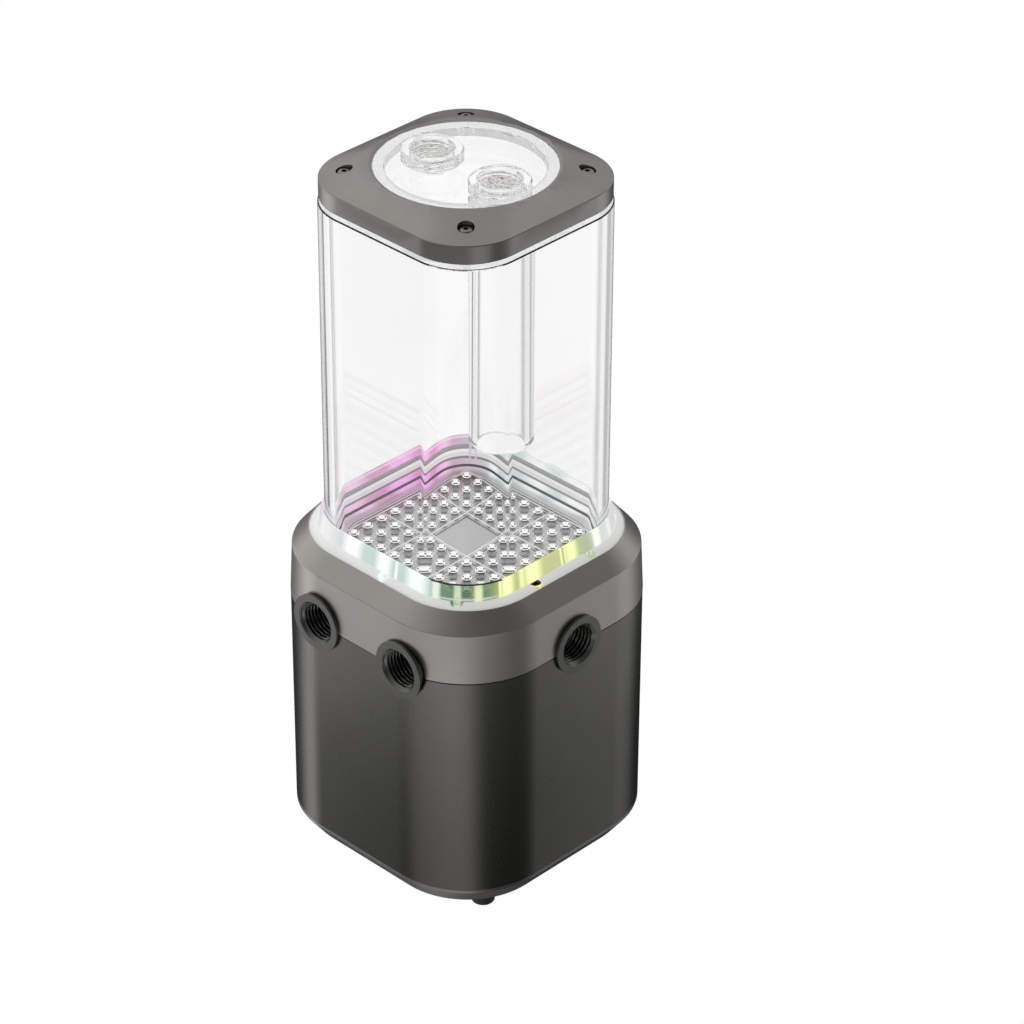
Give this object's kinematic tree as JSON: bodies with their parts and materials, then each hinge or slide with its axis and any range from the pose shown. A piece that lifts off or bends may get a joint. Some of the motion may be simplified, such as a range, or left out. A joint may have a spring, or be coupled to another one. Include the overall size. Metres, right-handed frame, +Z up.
{
  "type": "coolant pump reservoir",
  "caption": "Clear rounded-square coolant reservoir with a metal cap and threaded top ports, standing on a lit collar above a dark pump housing with threaded side ports and round feet.",
  "frame": {"origin": "on the upright axis of the reservoir, at the underside of the feet", "axes": "+Z up through the reservoir; -Y towards the face with two side ports; +X towards the face with one side port"},
  "size_m": [0.094, 0.094, 0.231],
  "materials": {
    "gunmetal": "fine bead-blasted anodised, gunmetal grey",
    "dark_anodised": "fine bead-blasted anodised, near black",
    "port_metal": "satin anodised, dark grey",
    "screw_steel": "plain",
    "rod_steel": "turned",
    "clear_acrylic": "polished clear",
    "black_rubber": "matt",
    "pale_plate": "satin",
    "white_plastic": "satin",
    "board_white": "solder mask, white",
    "led_lens": "clear lens",
    "dark_plastic": "moulded",
    "cup_plastic": "moulded",
    "ceramic": "polished",
    "rotor_plastic": "moulded",
    "lamination_steel": "stacked laminations",
    "copper": "enamelled wire",
    "board_green": "solder mask, green",
    "component_black": "moulded"
  },
  "bodies": {
    "housing": {"top_cap_frame": "gunmetal", "top_cap_screws": "screw_steel", "reservoir_lid": "clear_acrylic", "dip_tube": "clear_acrylic", "reservoir_tube": "clear_acrylic", "tube_foot_gasket": "black_rubber", "pump_block": "clear_acrylic", "plug_seal": "black_rubber", "floor_plate": "pale_plate", "floor_grid": "clear_acrylic", "floor_seal": "black_rubber", "light_guide": "clear_acrylic", "light_guide_screws": "screw_steel", "led_board": "board_white", "led_chips": "led_lens", "diffuser_rim": "white_plastic", "collar_ring": "gunmetal", "seam_gasket": "black_rubber", "port_insert_left": "port_metal", "port_insert_right": "port_metal", "port_insert_side": "port_metal", "port_seals": "black_rubber", "casing_sleeve": "dark_anodised", "cable_grommet": "black_rubber", "bottom_plate": "gunmetal", "bottom_plate_screws": "screw_steel", "tie_rods": "rod_steel", "rubber_feet": "black_rubber", "foot_studs": "screw_steel", "pump_clamp_ring": "dark_plastic", "pump_clamp_screws": "screw_steel", "motor_can": "dark_plastic", "motor_end_cover": "dark_plastic", "separation_cup": "cup_plastic", "bearing_ball": "ceramic", "pump_seal": "black_rubber", "stator_core": "lamination_steel", "stator_windings": "copper", "control_board": "board_green", "board_components": "component_black"},
    "rotor": {"rotor_dome": "rotor_plastic", "impeller": "rotor_plastic"}
  },
  "joints": [
    {"name": "impeller_spin", "type": "hinge", "parent": "housing", "child": "rotor", "pos_m": [0, 0, 0.076], "axis": [0, 0, 1], "continuous": true}
  ]
}
